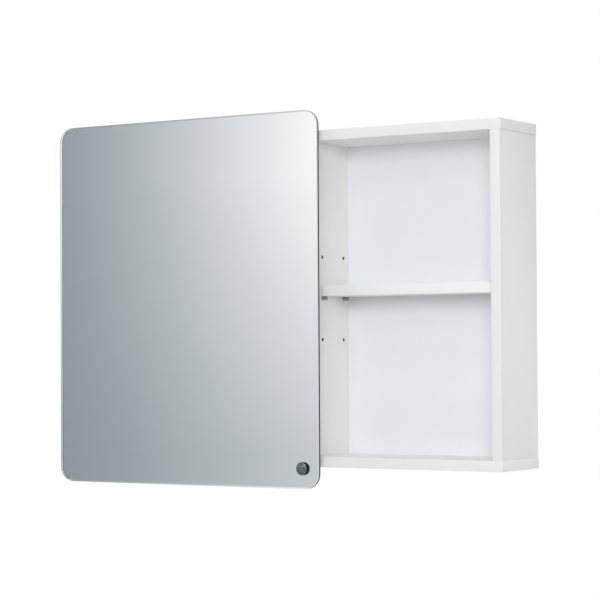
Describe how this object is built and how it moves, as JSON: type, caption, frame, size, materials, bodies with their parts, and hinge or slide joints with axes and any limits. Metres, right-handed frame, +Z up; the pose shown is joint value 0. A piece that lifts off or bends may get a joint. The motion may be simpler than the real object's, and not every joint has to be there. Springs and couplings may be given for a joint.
{
  "type": "sliding mirror cabinet",
  "caption": "Wall-hung white cabinet with shelves behind a frameless round-cornered mirror that slides along its front on a hidden track.",
  "frame": {"origin": "midway between the two wall screw holes, on the wall plane", "axes": "+X to the right for someone facing the mirror, +Y into the wall, +Z up"},
  "size_m": [0.7866, 0.1372, 0.5675],
  "materials": {
    "white_board": "satin white melamine facing",
    "white_back": "satin white lacquered fibreboard",
    "white_edging": "satin white edging strip",
    "beech": "fluted beech",
    "zinc_steel": "zinc plated",
    "nickel_steel": "nickel plated",
    "aluminium_channel": "mill finish, drawn",
    "white_cap": "moulded white",
    "white_nylon": "moulded nylon",
    "black_rubber": "moulded",
    "foam_tape": "foam adhesive tape",
    "silvered_glass": "silvered float glass, ground edge",
    "dark_metal": "dark chrome"
  },
  "bodies": {
    "carcass": {"top_panel": "white_board", "bottom_panel": "white_board", "left_side_panel": "white_board", "right_side_panel": "white_board", "centre_partition": "white_board", "left_shelf": "white_board", "right_shelf": "white_board", "back_panel": "white_back", "front_edge_bands": "white_edging", "shelf_edge_bands": "white_edging", "left_shelf_pins": "nickel_steel", "right_shelf_pins": "nickel_steel", "carcass_dowels": "beech", "carcass_screws": "zinc_steel", "screw_caps": "white_cap", "back_panel_nails": "zinc_steel", "left_hanging_bracket": "zinc_steel", "right_hanging_bracket": "zinc_steel", "hanging_bracket_screws": "zinc_steel", "upper_track": "aluminium_channel", "upper_track_screws": "zinc_steel", "lower_track": "aluminium_channel", "lower_track_screws": "zinc_steel", "left_track_stop": "black_rubber", "right_track_stop": "black_rubber"},
    "mirror": {"mirror_glass": "silvered_glass", "knob": "dark_metal", "knob_screw": "zinc_steel", "knob_washers": "white_nylon", "left_hanger": "zinc_steel", "left_hanger_pad": "foam_tape", "left_wheel_axle": "zinc_steel", "left_guide": "zinc_steel", "left_guide_pad": "foam_tape", "left_guide_shoe": "white_nylon", "right_hanger": "zinc_steel", "right_hanger_pad": "foam_tape", "right_wheel_axle": "zinc_steel", "right_guide": "zinc_steel", "right_guide_pad": "foam_tape", "right_guide_shoe": "white_nylon"},
    "left_wheel": {"left_wheel": "white_nylon"},
    "right_wheel": {"right_wheel": "white_nylon"}
  },
  "joints": [
    {"name": "mirror_slide", "type": "slide", "parent": "carcass", "child": "mirror", "axis": [1, 0, 0], "range_m": [0, 0.3289]},
    {"name": "left_wheel_spin", "type": "hinge", "parent": "mirror", "child": "left_wheel", "pos_m": [-0.3196, -0.0925, 0.0505], "axis": [0, 1, 0], "range_deg": [0, 1714.1]},
    {"name": "right_wheel_spin", "type": "hinge", "parent": "mirror", "child": "right_wheel", "pos_m": [-0.0093, -0.0925, 0.0505], "axis": [0, 1, 0], "range_deg": [0, 1714.1]}
  ],
  "couplings": [
    {"joint": "left_wheel_spin", "follows": "mirror_slide", "rad_per_m": 90.909},
    {"joint": "right_wheel_spin", "follows": "mirror_slide", "rad_per_m": 90.909}
  ]
}
